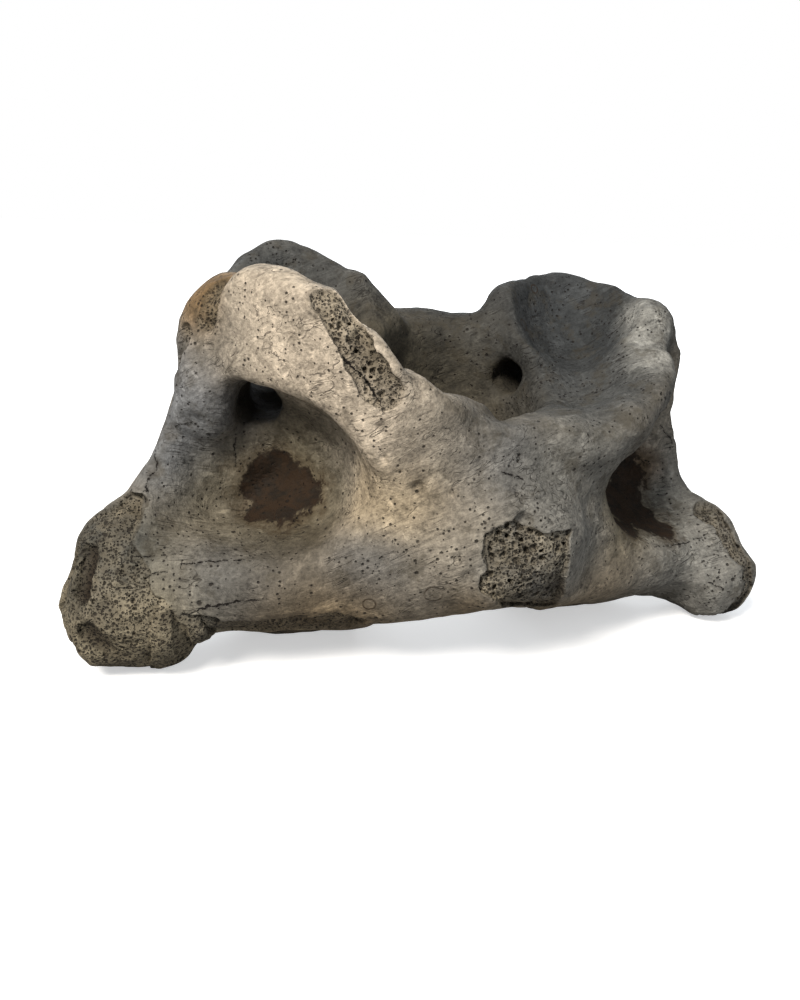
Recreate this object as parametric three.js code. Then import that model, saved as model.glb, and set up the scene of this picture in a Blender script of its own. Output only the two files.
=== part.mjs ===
// Cow atlas: the first neck vertebra of domestic cattle, a dry and weathered bone.
// It stands on its caudal end, so +Z is cranial, +Y is dorsal and -Y, the front, is ventral.
// Millimetres. The origin is under the middle of the bone, on the surface that it stands on.
//
// The bone is one closed skin round a smooth field: a function that is negative inside the bone and
// close to the distance from its surface. Masses are joined and hollows cut with soft edges, then a
// net of quads is laid where the field is zero.
import * as THREE from "three";

// The net: the size of its cells and the space that it searches
const CELL = 3.1;
const BOX = new THREE.Box3(new THREE.Vector3(-86, -44, -6), new THREE.Vector3(86, 42, 90));
const SETTLE_STEPS = 3;

// Vertebral canal, and the ring of bone round it with its two cranial notches
const CANAL = { y: 0.5, halfWidth: 16, halfDepth: 17, flare: 0.2, flareBelow: 45 };
const RING = { y: 1, halfWidth: 31, halfDepth: 29, ventralTop: 49.5, dorsalTop: 63 };
const VENTRAL_TUBERCLE = { at: [2, -26, 27], size: [13, 9, 13] };
const DORSAL_TUBERCLE = { at: [0, 27, 50], size: [16, 5.5, 14] };
const CAUDAL_NOTCH = { at: [0, 37, 6], size: [23, 27, 27] };
// The caudal face slants up towards the front, so only its dorsal part stands on the floor.
const CAUDAL_FACE = { height: 1, slope: 0.5, reach: 54, fade: 7 };

// Shapes that both halves share, with lateral distances from the middle of the canal.
// The cups and their walls are turned in plan, so that their ventral ends meet near the middle.
const CUP_TURN = -24;
const CUP = { at: [27, 3, 88], size: [17.5, 25, 32] };
const CAUDAL_MASS = { at: [28, 3, 14], size: [20, 18, 17] };
const FOSSA_TURN = -10;
const DORSAL_FOSSA = { at: [40, 36, 48], size: [14, 15, 18] };
const ALAR_FORAMEN = { mouth: [48.5, -8, 48.5], bend: [37, 9, 51], end: [39, 27, 59], wide: 7.2, narrow: 4 };
const SPINAL_FORAMEN = { mouth: [11, 7, 53], end: [37, 23, 53], mouthRadius: 3.6, endRadius: 4.2 };
// The wing is a plate whose middle surface falls ventrally as it goes out.
const WING = { root: 35, rootY: 12, fall: 0.3, half: 4.5, edgeHalf: 6.5, thickFrom: 45, thickTo: 60 };
const LEAN = { from: 5, to: 30 };

// The whole surface swells and sinks a little, as slow waves in different directions.
const SWELL = {
  height: 0.6,
  waves: [[0.33, 0.12, 0.21, 0], [-0.17, 0.36, 0.14, 2], [0.12, -0.22, 0.38, 4], [0.24, 0.3, -0.26, 1]],
};
// Worn and broken places, where the outer skin is gone and the surface lies lower: outlines as
// [x, height] seen from the front, bars along broken edges, and furrows in the left tip.
const WORN = { depth: 1.4, fade: 1.2 };
const WORN_FACES = [
  {
    outline: [
      [-48, -5], [-60.5, 15.4], [-61.7, 17.6], [-64, 20.8], [-65.5, 23.8], [-67.4, 26.2],
      [-64.9, 29.6], [-64, 33.5], [-90, 33.5], [-90, -5],
    ],
    behind: 0,
  },
  {
    outline: [
      [-60.5, -5], [-60.5, 15.4], [-53, 14.3], [-47, 13.3],
      [-38, 13.8], [-31, 14.6], [-25, 13], [-25, -5],
    ],
    behind: -9,
  },
  {
    outline: [[-6.7, 32], [-1.7, 35], [4.3, 32], [9.3, 32], [9.3, 25], [13.3, 13], [-0.7, 15], [-7.7, 22]],
    behind: -15,
  },
];
const WORN_EDGES = [
  { from: [-35.5, -23.5, 73], to: [-26.5, -29.5, 57], fromRadius: 2.6, toRadius: 3.2 },
  { from: [-49, -1, 73.5], to: [-52, -2, 66.5], fromRadius: 3.4, toRadius: 2.6 },
  { from: [-55.5, 3, 63], to: [-57.3, 7, 50], fromRadius: 2.2, toRadius: 2.2 },
  { from: [60, -6, 25], to: [63, -14, 16], fromRadius: 2.8, toRadius: 2.8 },
  { from: [63, -14, 16], to: [66, -15.5, 9], fromRadius: 2.8, toRadius: 2.8 },
  { from: [66, -15.5, 9], to: [61, -12.5, 1.5], fromRadius: 2.8, toRadius: 2.8 },
];
const FURROWS = [
  { from: [-74, -6.5, 23.5], to: [-75.5, -9, 17.5], fromRadius: 1.3, toRadius: 1.5 },
  { from: [-75.5, -13, 10.5], to: [-70, -16.5, 5], fromRadius: 1.9, toRadius: 1.7 },
];

// How softly each form runs into the next
const SOFT = {
  masses: 12, wing: 8, lowerBar: 10, margin: 6, wingEdge: 6, rim: 5, foot: 12, tubercle: 8,
  ring: 6, face: 4, canal: 4, cups: 3, cupParts: 4, hollows: 4, openings: 2, notch: 6, floor: 1.5,
  shoulder: 3, furrow: 2,
};

// Left is the half at -X. wing is the outline of the wing plate as [lateral, height], and rim is the
// height of the cup's rim as [degrees, height], from 0 at the side to 90 ventrally and -90 dorsally.
const halves = {
  left: {
    side: -1,
    wing: [
      [28, 64], [40, 70], [47, 70], [54, 64], [57, 50], [62, 39],
      [71, 26], [76, 14], [74, 4], [60, 4], [50, 6], [28, 6],
    ],
    lean: 4,
    walls: { at: [28, 1, 64], size: [23, 33, 46], foot: 36 },
    shoulder: { normal: [0.72, 0.155, 0.694], reach: 85.8 },
    rim: [
      [-180, 62], [-145, 64], [-122, 74], [-85, 80], [-58, 78], [-30, 74.5], [10, 76],
      [50, 76.5], [75, 73.5], [90, 68], [105, 60], [120, 55], [140, 52.5], [180, 50],
    ],
    ventralCup: { at: [22, -6, 81], size: [14, 16, 26] },
    fossa: { at: [46, -17, 40], size: [20, 21, 16] },
    lowerBar: { from: [16, -16, 25], to: [60, -6, 15], fromRadius: 10.8, toRadius: 10.8 },
    margin: { from: [67.5, -4, 12.8], to: [68, -2, 22], fromRadius: 12.8, toRadius: 8.4 },
  },
  right: {
    side: 1,
    wing: [
      [28, 62], [40, 68], [48, 68], [55, 60], [55, 46], [58, 35],
      [62, 22], [66, 10], [65, 4], [60, 4], [50, 6], [28, 6],
    ],
    lean: 8,
    walls: { at: [27, 1, 64], size: [20, 33, 46], foot: 40 },
    shoulder: { normal: [0.72, 0.155, 0.694], reach: 86 },
    rim: [
      [-180, 62], [-148, 63], [-126, 71.5], [-85, 74], [-55, 74.5], [-25, 70.5], [0, 68.5],
      [30, 62], [60, 58], [90, 53], [115, 46.5], [140, 45.5], [180, 47.5],
    ],
    ventralCup: { at: [21, -12, 78], size: [15, 18, 27] },
    fossa: { at: [47, -17, 36], size: [20, 21, 15] },
    lowerBar: { from: [14, -12, 24], to: [58, -6, 14], fromRadius: 9.5, toRadius: 8.5 },
    margin: { from: [61.5, -8.5, 10.5], to: [61, -5, 18], fromRadius: 9.9, toRadius: 6.3 },
  },
};

const { clamp, degToRad, lerp, radToDeg, smoothstep } = THREE.MathUtils;

// Soft joins and cuts
function join(a, b, soft) {
  const overlap = Math.max(soft - Math.abs(a - b), 0) / soft;
  return Math.min(a, b) - (overlap * overlap * soft) / 4;
}
const meet = (a, b, soft) => -join(-a, -b, soft);
const cut = (a, b, soft) => meet(a, -b, soft);

// An ellipsoid, turned in plan by an angle in degrees
function ellipsoid({ at, size }, turn = 0) {
  const cosine = Math.cos(degToRad(turn));
  const sine = Math.sin(degToRad(turn));
  return (x, y, z) => {
    const dx = x - at[0];
    const dy = y - at[1];
    const u = (dx * cosine + dy * sine) / size[0];
    const v = (dy * cosine - dx * sine) / size[1];
    const w = (z - at[2]) / size[2];
    const reach = Math.hypot(u, v, w);
    const slope = Math.hypot(u / size[0], v / size[1], w / size[2]);
    return slope > 0 ? (reach * (reach - 1)) / slope : -Math.min(...size);
  };
}

// A round bar that tapers from one end to the other
function bar(from, to, fromRadius, toRadius) {
  const start = new THREE.Vector3(...from);
  const along = new THREE.Vector3(...to).sub(start);
  const offset = new THREE.Vector3();
  const nearest = new THREE.Vector3();
  return (x, y, z) => {
    offset.set(x, y, z).sub(start);
    const t = clamp(offset.dot(along) / along.lengthSq(), 0, 1);
    return nearest.copy(along).multiplyScalar(t).distanceTo(offset) - lerp(fromRadius, toRadius, t);
  };
}

// A flat outline, negative inside
function outline(points) {
  return (x, z) => {
    let distance = Infinity;
    let inside = false;
    points.forEach(([ax, az], i) => {
      const [bx, bz] = points[(i + 1) % points.length];
      const ex = bx - ax;
      const ez = bz - az;
      const t = clamp(((x - ax) * ex + (z - az) * ez) / (ex * ex + ez * ez), 0, 1);
      distance = Math.min(distance, Math.hypot(x - ax - ex * t, z - az - ez * t));
      if (az > z !== bz > z && x < ax + ((z - az) * ex) / ez) inside = !inside;
    });
    return inside ? -distance : distance;
  };
}

// A smooth curve through [angle, height] pairs
function heights(pairs) {
  return (angle) => {
    const i = Math.max(1, pairs.findIndex(([end]) => angle <= end));
    const [start, low] = pairs[i - 1];
    const [end, high] = pairs[i];
    return lerp(low, high, smoothstep(angle, start, end));
  };
}

// The ring of bone round the canal, lower at its ventral notch than at its dorsal one
function ring(x, y, z) {
  const u = x / RING.halfWidth;
  const v = (y - RING.y) / RING.halfDepth;
  const reach = Math.hypot(u, v);
  const top = lerp(RING.ventralTop, RING.dorsalTop, smoothstep(reach > 0 ? v / reach : 0, -1, 1));
  const wall = meet((reach - 1) * RING.halfDepth, z - top, SOFT.ring);
  return meet(wall, -z, SOFT.face);
}

// The canal, which widens towards its caudal end
function canal(x, y, z) {
  const grow = 1 + CANAL.flare * (1 - smoothstep(z, 0, CANAL.flareBelow));
  return (Math.hypot(x / CANAL.halfWidth, (y - CANAL.y) / CANAL.halfDepth) - grow) * CANAL.halfWidth;
}

// How much the worn places lower the surface
const wornGaps = [
  ...WORN_FACES.map(({ outline: points, behind }) => {
    const gap = outline(points);
    return (x, y, z) => Math.max(gap(x, z), y - behind);
  }),
  ...WORN_EDGES.map((edge) => bar(edge.from, edge.to, edge.fromRadius, edge.toRadius)),
];
function wear(x, y, z) {
  const gap = Math.min(...wornGaps.map((worn) => worn(x, y, z)));
  return WORN.depth * (1 - smoothstep(gap, -WORN.fade, WORN.fade));
}

function swell(x, y, z) {
  const crests = SWELL.waves.map(([a, b, c, start]) => Math.sin(a * x + b * y + c * z + start));
  return (SWELL.height * crests.reduce((sum, crest) => sum + crest, 0)) / crests.length;
}

// One wing with its cup, caudal joint mass and thick lower bar, and the hollows cut in them
function makeHalf(half) {
  const { walls, lowerBar, margin, shoulder } = half;
  const wingOutline = outline(half.wing);
  const rimHeight = heights(half.rim);
  const wallBlock = ellipsoid(walls, CUP_TURN);
  const cup = ellipsoid(CUP, CUP_TURN);
  const ventralCup = ellipsoid(half.ventralCup, CUP_TURN);
  const caudalMass = ellipsoid(CAUDAL_MASS);
  const lower = bar(lowerBar.from, lowerBar.to, lowerBar.fromRadius, lowerBar.toRadius);
  const tip = bar(margin.from, margin.to, margin.fromRadius, margin.toRadius);
  const fossa = ellipsoid(half.fossa, FOSSA_TURN);
  const dorsalFossa = ellipsoid(DORSAL_FOSSA);
  const alarMouth = bar(ALAR_FORAMEN.mouth, ALAR_FORAMEN.bend, ALAR_FORAMEN.wide, ALAR_FORAMEN.narrow);
  const alarEnd = bar(ALAR_FORAMEN.bend, ALAR_FORAMEN.end, ALAR_FORAMEN.narrow, ALAR_FORAMEN.narrow);
  const { mouth, end, mouthRadius, endRadius } = SPINAL_FORAMEN;
  const spinal = bar(mouth, end, mouthRadius, endRadius);

  function mass(x, y, z) {
    const middle = WING.rootY - WING.fall * (x - WING.root) - half.lean * (1 - smoothstep(z, LEAN.from, LEAN.to));
    const thick = lerp(WING.half, WING.edgeHalf, smoothstep(x, WING.thickFrom, WING.thickTo));
    const angle = radToDeg(Math.atan2(walls.at[1] - y, x - walls.at[0]));
    let d = meet(wingOutline(x, z), Math.abs(y - middle) - thick, SOFT.wingEdge);
    const [nx, ny, nz] = shoulder.normal;
    const sloped = meet(wallBlock(x, y, z), nx * x + ny * y + nz * z - shoulder.reach, SOFT.shoulder);
    const rimmed = meet(sloped, z - rimHeight(angle), SOFT.rim);
    d = join(d, meet(rimmed, walls.foot - z, SOFT.foot), SOFT.wing);
    d = join(d, caudalMass(x, y, z), SOFT.wing);
    d = join(d, lower(x, y, z), SOFT.lowerBar);
    return join(d, tip(x, y, z), SOFT.margin);
  }
  function hollow(x, y, z) {
    let d = join(fossa(x, y, z), alarMouth(x, y, z), SOFT.openings);
    d = join(d, alarEnd(x, y, z), SOFT.openings);
    d = join(d, dorsalFossa(x, y, z), SOFT.openings);
    return join(d, spinal(x, y, z), SOFT.openings);
  }
  return {
    mass: (x, y, z) => mass(x * half.side, y, z),
    hollow: (x, y, z) => hollow(x * half.side, y, z),
    cup: (x, y, z) => join(cup(x * half.side, y, z), ventralCup(x * half.side, y, z), SOFT.cupParts),
  };
}

const left = makeHalf(halves.left);
const right = makeHalf(halves.right);
const ventralTubercle = ellipsoid(VENTRAL_TUBERCLE);
const dorsalTubercle = ellipsoid(DORSAL_TUBERCLE);
const caudalNotch = ellipsoid(CAUDAL_NOTCH);
const furrows = FURROWS.map((furrow) => bar(furrow.from, furrow.to, furrow.fromRadius, furrow.toRadius));

function bone(x, y, z) {
  let d = join(ring(x, y, z), left.mass(x, y, z), SOFT.masses);
  d = join(d, right.mass(x, y, z), SOFT.masses);
  d = join(d, ventralTubercle(x, y, z), SOFT.tubercle);
  d = join(d, dorsalTubercle(x, y, z), SOFT.tubercle);
  const below = CAUDAL_FACE.height - CAUDAL_FACE.slope * y - z;
  const within = CAUDAL_FACE.reach - Math.abs(x);
  d = meet(d, join(below, within, CAUDAL_FACE.fade), SOFT.face);
  d = cut(d, canal(x, y, z), SOFT.canal);
  d = cut(d, Math.min(left.cup(x, y, z), right.cup(x, y, z)), SOFT.cups);
  d = cut(d, Math.min(left.hollow(x, y, z), right.hollow(x, y, z)), SOFT.hollows);
  d = cut(d, caudalNotch(x, y, z), SOFT.notch);
  d += swell(x, y, z) + wear(x, y, z);
  for (const furrow of furrows) d = cut(d, furrow(x, y, z), SOFT.furrow);
  return meet(d, -z, SOFT.floor);
}

// Fills the grid points where two parts of the bone would touch only along an edge or at a corner of a
// grid cell, so that the net is always one closed surface.
function fillPinches(value, strides) {
  const filled = -0.1;
  const squares = [[0, 1], [1, 2], [2, 0]].map(([m, n]) => [0, strides[m], strides[m] + strides[n], strides[n]]);
  const [sx, sy, sz] = strides;
  const diagonals = [[0, sx + sy + sz], [sx, sy + sz], [sy, sx + sz], [sz, sx + sy]];
  const others = diagonals.map((pair) => diagonals.flat().filter((corner) => !pair.includes(corner)));
  const last = value.length - (sx + sy + sz);
  const inside = (at) => value[at] < 0;
  let changed = true;
  const fill = (at) => {
    value[at] = filled;
    changed = true;
  };
  while (changed) {
    changed = false;
    for (let at = 0; at < last; at++) {
      for (const square of squares) {
        const [a, b, c, d] = square.map((corner) => at + corner);
        if (inside(a) !== inside(c) || inside(b) !== inside(d) || inside(a) === inside(b)) continue;
        const [p, q] = inside(a) ? [b, d] : [a, c];
        fill(value[p] < value[q] ? p : q);
      }
      diagonals.forEach(([p, q], i) => {
        if (inside(at + p) !== inside(at + q)) return;
        if (others[i].some((corner) => inside(at + corner) === inside(at + p))) return;
        fill(inside(at + p) ? at + others[i][0] : at + p);
      });
    }
  }
}

// Lays a net of quads where the field is zero: one vertex in each cell that the surface crosses.
function layNet(field, box, cell) {
  const count = box.getSize(new THREE.Vector3()).divideScalar(cell).ceil().addScalar(1).toArray();
  const strides = [1, count[0], count[0] * count[1]];
  const value = new Float32Array(count[0] * count[1] * count[2]);
  const place = (i, m) => box.min.getComponent(m) + i * cell;
  for (let k = 0; k < count[2]; k++)
    for (let j = 0; j < count[1]; j++)
      for (let i = 0; i < count[0]; i++) {
        const at = i + strides[1] * j + strides[2] * k;
        value[at] = field(place(i, 0), place(j, 1), place(k, 2));
      }

  fillPinches(value, strides);

  // A cell has a corner for each of 8 binary numbers, and an edge between two that differ by one bit.
  const corners = [0, 1, 2, 3, 4, 5, 6, 7];
  const offset = (corner) => (corner & 1) + strides[1] * ((corner >> 1) & 1) + strides[2] * (corner >> 2);
  const bits = [1, 2, 4];
  const edges = bits.flatMap((bit) => corners.filter((c) => !(c & bit)).map((c) => [c, c | bit]));
  const vertexOf = new Map();
  const positions = [];
  for (let k = 0; k < count[2] - 1; k++)
    for (let j = 0; j < count[1] - 1; j++)
      for (let i = 0; i < count[0] - 1; i++) {
        const at = i + strides[1] * j + strides[2] * k;
        const sum = new THREE.Vector3();
        let crossings = 0;
        for (const [a, b] of edges) {
          const va = value[at + offset(a)];
          const vb = value[at + offset(b)];
          if (va < 0 === vb < 0) continue;
          const t = va / (va - vb);
          bits.forEach((bit, m) => {
            const shift = lerp(a & bit ? 1 : 0, b & bit ? 1 : 0, t);
            sum.setComponent(m, sum.getComponent(m) + shift);
          });
          crossings++;
        }
        if (!crossings) continue;
        vertexOf.set(at, positions.length / 3);
        sum.divideScalar(crossings).add(new THREE.Vector3(i, j, k)).multiplyScalar(cell).add(box.min);
        positions.push(...sum.toArray());
      }

  // Each grid edge that the surface crosses gets a quad between the four cells round it.
  const index = [];
  for (const at of vertexOf.keys())
    for (let m = 0; m < 3; m++) {
      if (value[at] < 0 === value[at + strides[m]] < 0) continue;
      const u = strides[(m + 1) % 3];
      const v = strides[(m + 2) % 3];
      const quad = [at - u - v, at - v, at, at - u].map((cellAt) => vertexOf.get(cellAt));
      if (value[at] > 0) quad.reverse();
      const [p, q, r, s] = quad;
      index.push(p, q, r, p, r, s);
    }
  return { positions, index };
}

// Draws each vertex onto the surface along the field's slope.
function settle(positions, field, steps) {
  const nudge = 0.05;
  const leastSlope = 0.3;
  const farthest = 0.5;
  for (let i = 0; i < positions.length; i += 3)
    for (let s = 0; s < steps; s++) {
      const [x, y, z] = positions.slice(i, i + 3);
      const d = field(x, y, z);
      const rise = [field(x + nudge, y, z) - d, field(x, y + nudge, z) - d, field(x, y, z + nudge) - d];
      const slope = new THREE.Vector3(...rise).divideScalar(nudge);
      slope.multiplyScalar(-d / Math.max(slope.lengthSq(), leastSlope)).clampLength(0, farthest);
      slope.toArray().forEach((move, m) => (positions[i + m] += move));
    }
}

function makeBone() {
  const { positions, index } = layNet(bone, BOX, CELL);
  settle(positions, bone, SETTLE_STEPS);
  const geometry = new THREE.BufferGeometry();
  geometry.setAttribute("position", new THREE.Float32BufferAttribute(positions, 3));
  geometry.setIndex(index);
  geometry.computeBoundingBox();
  const middle = geometry.boundingBox.getCenter(new THREE.Vector3());
  geometry.translate(-middle.x, -middle.y, -geometry.boundingBox.min.z);
  geometry.computeVertexNormals();
  return geometry;
}

const weatheredBone = new THREE.MeshStandardMaterial({ color: 0x8c857b, roughness: 0.85, metalness: 0 });
const atlas = new THREE.Mesh(makeBone(), weatheredBone);
atlas.name = "atlas";

const part = new THREE.Group();
part.add(atlas);
export default part;
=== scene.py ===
# Cow atlas vertebra, dry and weathered, standing on its caudal end.
# The bone is a smooth field that is negative inside, worked out on a fine grid and covered with a net of quads.
# Shapes are written in millimetres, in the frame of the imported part: +Z cranial, -Y ventral, -X the left half.
import math

import bpy
import numpy as np
from mathutils import Matrix, Vector


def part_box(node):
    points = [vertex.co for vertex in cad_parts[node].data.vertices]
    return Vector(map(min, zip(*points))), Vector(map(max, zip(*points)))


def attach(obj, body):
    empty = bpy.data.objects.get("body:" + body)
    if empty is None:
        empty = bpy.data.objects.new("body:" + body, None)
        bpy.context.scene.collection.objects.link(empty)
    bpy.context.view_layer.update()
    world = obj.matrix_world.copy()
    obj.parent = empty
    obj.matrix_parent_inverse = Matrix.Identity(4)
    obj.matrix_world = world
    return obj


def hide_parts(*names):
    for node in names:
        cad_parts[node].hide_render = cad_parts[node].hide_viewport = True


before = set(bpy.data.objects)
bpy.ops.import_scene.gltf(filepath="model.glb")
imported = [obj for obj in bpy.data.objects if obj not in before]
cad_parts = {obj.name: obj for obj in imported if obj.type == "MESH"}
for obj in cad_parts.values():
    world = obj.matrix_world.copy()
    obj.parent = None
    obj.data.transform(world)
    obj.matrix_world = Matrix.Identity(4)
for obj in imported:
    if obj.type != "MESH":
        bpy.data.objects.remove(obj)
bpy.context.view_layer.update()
mm = 0.001
print("frame loaded")


# field tools: p is a list of three arrays, and every function gives millimetres from a surface
def ramp(x, low, high):
    t = np.clip((x - low) / (high - low), 0, 1)
    return t * t * (3 - 2 * t)


def blend(a, b, t):
    return a + (b - a) * t


def join(a, b, soft):
    overlap = np.maximum(soft - np.abs(a - b), 0) / soft
    return np.minimum(a, b) - overlap * overlap * soft / 4


def meet(a, b, soft):
    return -join(-a, -b, soft)


def cut(a, b, soft):
    return meet(a, -b, soft)


def ellipsoid(p, at, size, turn=0.0):
    cosine, sine = math.cos(math.radians(turn)), math.sin(math.radians(turn))
    dx, dy = p[0] - at[0], p[1] - at[1]
    u = (dx * cosine + dy * sine) / size[0]
    v = (dy * cosine - dx * sine) / size[1]
    w = (p[2] - at[2]) / size[2]
    reach = np.sqrt(u * u + v * v + w * w)
    slope = np.sqrt((u / size[0]) ** 2 + (v / size[1]) ** 2 + (w / size[2]) ** 2)
    return np.where(slope > 1e-5, reach * (reach - 1) / np.maximum(slope, 1e-5), -min(size))


def bar(p, start, end, startRadius, endRadius):
    along = [b - a for a, b in zip(start, end)]
    offset = [c - a for c, a in zip(p, start)]
    t = np.clip(sum(o * a for o, a in zip(offset, along)) / sum(a * a for a in along), 0, 1)
    gap = np.sqrt(sum((o - a * t) ** 2 for o, a in zip(offset, along)))
    return gap - blend(startRadius, endRadius, t)


def outline(x, z, points):
    distance = np.full(x.shape, 1e6, np.float32)
    inside = np.zeros(x.shape, bool)
    for (ax, az), (bx, bz) in zip(points, points[1:] + points[:1]):
        ex, ez = bx - ax, bz - az
        t = np.clip(((x - ax) * ex + (z - az) * ez) / (ex * ex + ez * ez), 0, 1)
        distance = np.minimum(distance, (x - ax - ex * t) ** 2 + (z - az - ez * t) ** 2)
        if ez:
            inside ^= ((az > z) != (bz > z)) & (x < ax + (z - az) * ex / ez)
    return np.where(inside, -1, 1) * np.sqrt(distance)


def curve(x, pairs):
    ends = np.array([pair[0] for pair in pairs], float)
    values = np.array([pair[1] for pair in pairs], float)
    i = np.clip(np.searchsorted(ends, x), 1, len(pairs) - 1)
    t = np.clip((x - ends[i - 1]) / (ends[i] - ends[i - 1]), 0, 1)
    return blend(values[i - 1], values[i], t * t * (3 - 2 * t))


# noise with a fixed seed, one value or one cell centre for each point of a repeating lattice
latticeSize = 32


def latticeOf(p, cell):
    q = [c / cell + 4 * latticeSize for c in p]
    index = [np.floor(c).astype(np.int32) for c in q]
    return index, [c - i for c, i in zip(q, index)]


def makeNoise(cell, seed):
    lattice = np.random.default_rng(seed).uniform(-1, 1, (latticeSize,) * 3).astype(np.float32)

    def noise(p):
        index, part = latticeOf(p, cell)
        part = [t * t * (3 - 2 * t) for t in part]
        total = 0
        for corner in range(8):
            step = [(corner >> m) & 1 for m in range(3)]
            weight = 1
            for m in range(3):
                weight = weight * (part[m] if step[m] else 1 - part[m])
            total = total + weight * lattice[tuple((index[m] + step[m]) % latticeSize for m in range(3))]
        return total

    return noise


def makeCells(cell, seed):
    jitter = np.random.default_rng(seed).random((latticeSize,) * 3 + (3,)).astype(np.float32)

    def gaps(p):
        index, part = latticeOf(p, cell)
        first = np.full(p[0].shape, 9, np.float32)
        second = first.copy()
        for step in np.ndindex(3, 3, 3):
            spot = jitter[tuple((index[m] + step[m] - 1) % latticeSize for m in range(3))]
            gap = np.sqrt(sum((part[m] - step[m] + 1 - spot[..., m]) ** 2 for m in range(3)))
            second = np.minimum(second, np.maximum(first, gap))
            first = np.minimum(first, gap)
        return first * cell, second * cell

    return gaps


# the bone's shape, with the same sizes as its solid; left is the half at -X
boneShape = {
    "canal": {"y": 0.5, "halfWidth": 16, "halfDepth": 17, "flare": 0.2, "flareBelow": 45},
    "ring": {"y": 1, "halfWidth": 31, "halfDepth": 29, "ventralTop": 49.5, "dorsalTop": 63},
    "ventralTubercle": {"at": (2, -26, 27), "size": (13, 9, 13)},
    "dorsalTubercle": {"at": (0, 27, 50), "size": (16, 5.5, 14)},
    "caudalNotch": {"at": (0, 37, 6), "size": (23, 27, 27)},
    "caudalFace": {"height": 1, "slope": 0.5, "reach": 54, "fade": 7},
    "cupTurn": -24,
    "cup": {"at": (27, 3, 88), "size": (17.5, 25, 32)},
    "caudalMass": {"at": (28, 3, 14), "size": (20, 18, 17)},
    "fossaTurn": -10,
    "dorsalFossa": {"at": (40, 36, 48), "size": (14, 15, 18)},
    "alarForamen": {"mouth": (48.5, -8, 48.5), "bend": (37, 9, 51), "end": (39, 27, 59), "wide": 7.2, "narrow": 4},
    "spinalForamen": {"mouth": (11, 7, 53), "end": (37, 23, 53), "mouthRadius": 3.6, "endRadius": 4.2},
    "wing": {"root": 35, "rootY": 12, "fall": 0.3, "half": 4.5, "edgeHalf": 6.5, "thickFrom": 45, "thickTo": 60},
    "lean": (5, 30),
    "left": {
        "side": -1,
        "wing": [(28, 64), (40, 70), (47, 70), (54, 64), (57, 50), (62, 39),
                 (71, 26), (76, 14), (74, 4), (60, 4), (50, 6), (28, 6)],
        "lean": 4,
        "walls": {"at": (28, 1, 64), "size": (23, 33, 46)},
        "foot": 36,
        "shoulder": (0.72, 0.155, 0.694, 85.8),
        "rim": [(-180, 62), (-145, 64), (-122, 74), (-85, 80), (-58, 78), (-30, 74.5), (10, 76),
                (50, 76.5), (75, 73.5), (90, 68), (105, 60), (120, 55), (140, 52.5), (180, 50)],
        "ventralCup": {"at": (22, -6, 81), "size": (14, 16, 26)},
        "fossa": {"at": (46, -17, 40), "size": (20, 21, 16)},
        "lowerBar": ((16, -16, 25), (60, -6, 15), 10.8, 10.8),
        "margin": ((67.5, -4, 12.8), (68, -2, 22), 12.8, 8.4),
    },
    "right": {
        "side": 1,
        "wing": [(28, 62), (40, 68), (48, 68), (55, 60), (55, 46), (58, 35),
                 (62, 22), (66, 10), (65, 4), (60, 4), (50, 6), (28, 6)],
        "lean": 8,
        "walls": {"at": (27, 1, 64), "size": (20, 33, 46)},
        "foot": 40,
        "shoulder": (0.72, 0.155, 0.694, 86),
        "rim": [(-180, 62), (-148, 63), (-126, 71.5), (-85, 74), (-55, 74.5), (-25, 70.5), (0, 68.5), (30, 62),
                (60, 58), (90, 53), (115, 46.5), (140, 45.5), (180, 47.5)],
        "ventralCup": {"at": (21, -12, 78), "size": (15, 18, 27)},
        "fossa": {"at": (47, -17, 36), "size": (20, 21, 15)},
        "lowerBar": ((14, -12, 24), (58, -6, 14), 9.5, 8.5),
        "margin": ((61.5, -8.5, 10.5), (61, -5, 18), 9.9, 6.3),
    },
    "soft": {"masses": 12, "wing": 8, "lowerBar": 10, "margin": 6, "wingEdge": 6, "rim": 5, "foot": 12,
             "tubercle": 8, "ring": 6, "face": 4, "canal": 4, "cups": 3, "cupParts": 4, "hollows": 4,
             "openings": 2, "notch": 6, "floor": 1.5, "shoulder": 3, "furrow": 2},
    "swell": (0.6, [(0.33, 0.12, 0.21, 0), (-0.17, 0.36, 0.14, 2), (0.12, -0.22, 0.38, 4), (0.24, 0.3, -0.26, 1)]),
    "furrows": [((-74, -6.5, 23.5), (-75.5, -9, 17.5), 1.3, 1.5), ((-75.5, -13, 10.5), (-70, -16.5, 5), 1.9, 1.7)],
    "wear": (1.4, 1.2),   # depth and fade of the solid's worn places
    "plainCell": 3.1,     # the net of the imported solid
    "space": ((-86, -44, -6), (86, 42, 90)),
}
soft = boneShape["soft"]
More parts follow.
